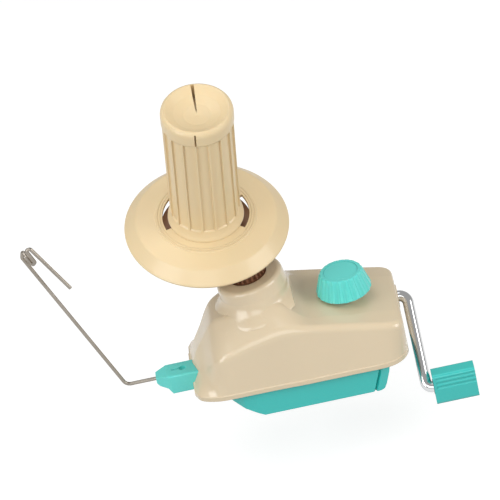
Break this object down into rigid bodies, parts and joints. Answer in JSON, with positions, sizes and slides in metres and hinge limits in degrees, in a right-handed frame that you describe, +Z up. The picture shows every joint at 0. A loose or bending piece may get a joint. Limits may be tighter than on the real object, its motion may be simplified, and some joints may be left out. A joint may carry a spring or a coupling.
{
  "type": "yarn cone winder",
  "caption": "Hand-cranked yarn winder that clamps to a table edge: cream body, tilted head with ribbed cone and round flange, bent wire yarn guide, chrome crank, turquoise clamp and grip.",
  "frame": {"origin": "centre of the seat pad's face that rests on the table top", "axes": "+Z up, +X towards the crank, +Y away from the side that faces the picture's viewer"},
  "size_m": [0.2777, 0.115, 0.254],
  "materials": {
    "cream_cover": "glossy",
    "cream_cone": "satin",
    "turquoise": "glossy",
    "chrome_rod": "polished",
    "steel": "drawn",
    "brown_gear": "matt",
    "dark_plastic": "matt",
    "frame_plastic": "matt",
    "bush_brass": "plain",
    "pad_rubber": "matt"
  },
  "bodies": {
    "base": {"upper_cover": "cream_cover", "base_plate": "frame_plastic", "seat_pad": "pad_rubber", "gear_frame": "frame_plastic", "guide_holder": "turquoise", "top_bush": "dark_plastic", "crank_rear_bush": "dark_plastic", "crank_front_bush": "bush_brass", "crank_middle_bush": "bush_brass", "lay_bushes": "bush_brass", "neck_upper_bush": "bush_brass", "neck_lower_bush": "bush_brass", "sun_gear": "brown_gear", "case_screws": "steel", "frame_screws": "steel"},
    "clamp": {"clamp_screw": "steel", "clamp_knob": "turquoise", "knob_cap": "turquoise"},
    "jaw": {"clamp_jaw": "turquoise", "jaw_pad": "pad_rubber", "jaw_nut": "steel", "jaw_guide_rods": "steel"},
    "crank": {"crank_rod": "chrome_rod", "crank_gear": "brown_gear", "crank_clip": "steel", "grip_washer": "dark_plastic"},
    "grip": {"crank_grip": "turquoise"},
    "lay": {"lay_shaft": "steel", "lay_pinion": "brown_gear", "lay_bevel": "brown_gear"},
    "head": {"neck_shaft": "steel", "neck_bevel": "brown_gear", "head_arm": "cream_cone"},
    "cone": {"cone_hub": "brown_gear", "hub_gear": "brown_gear", "hub_screw": "steel", "flange_disc": "cream_cone", "winding_cone": "cream_cone", "cone_core": "cream_cone"},
    "guide": {"guide_wire": "steel"}
  },
  "joints": [
    {"name": "crank_spin", "type": "hinge", "parent": "base", "child": "crank", "pos_m": [0.046, 0.012, 0.019], "axis": [1, 0, 0], "continuous": true},
    {"name": "grip_spin", "type": "hinge", "parent": "crank", "child": "grip", "pos_m": [0.0908, -0.03467, -0.02767], "axis": [1, 0, 0], "continuous": true},
    {"name": "lay_spin", "type": "hinge", "parent": "base", "child": "lay", "pos_m": [0.016, 0, 0.0292], "axis": [1, 0, 0], "continuous": true},
    {"name": "head_spin", "type": "hinge", "parent": "base", "child": "head", "pos_m": [-0.0145, 0, 0.0678], "axis": [-0.1435, 0, 0.9897], "continuous": true},
    {"name": "cone_spin", "type": "hinge", "parent": "head", "child": "cone", "pos_m": [-0.03365, 0.01674, 0.1084], "axis": [0.1044, -0.3049, 0.9466], "continuous": true},
    {"name": "clamp_turn", "type": "hinge", "parent": "base", "child": "clamp", "pos_m": [0.046, 0, 0.04], "axis": [0, 0, 1], "range_deg": [0, 3600]},
    {"name": "jaw_slide", "type": "slide", "parent": "base", "child": "jaw", "axis": [0, 0, -1], "range_m": [0, 0.025]},
    {"name": "guide_swivel", "type": "hinge", "parent": "base", "child": "guide", "pos_m": [-0.094, -0.0117, 0.0099], "axis": [1, 0, 0], "range_deg": [-75, 75]}
  ],
  "couplings": [
    {"joint": "lay_spin", "follows": "crank_spin", "ratio": -2.1818},
    {"joint": "head_spin", "follows": "crank_spin", "ratio": 3.2727},
    {"joint": "cone_spin", "follows": "crank_spin", "ratio": 1.4318},
    {"joint": "clamp_turn", "follows": "jaw_slide", "rad_per_m": 2513.3}
  ]
}
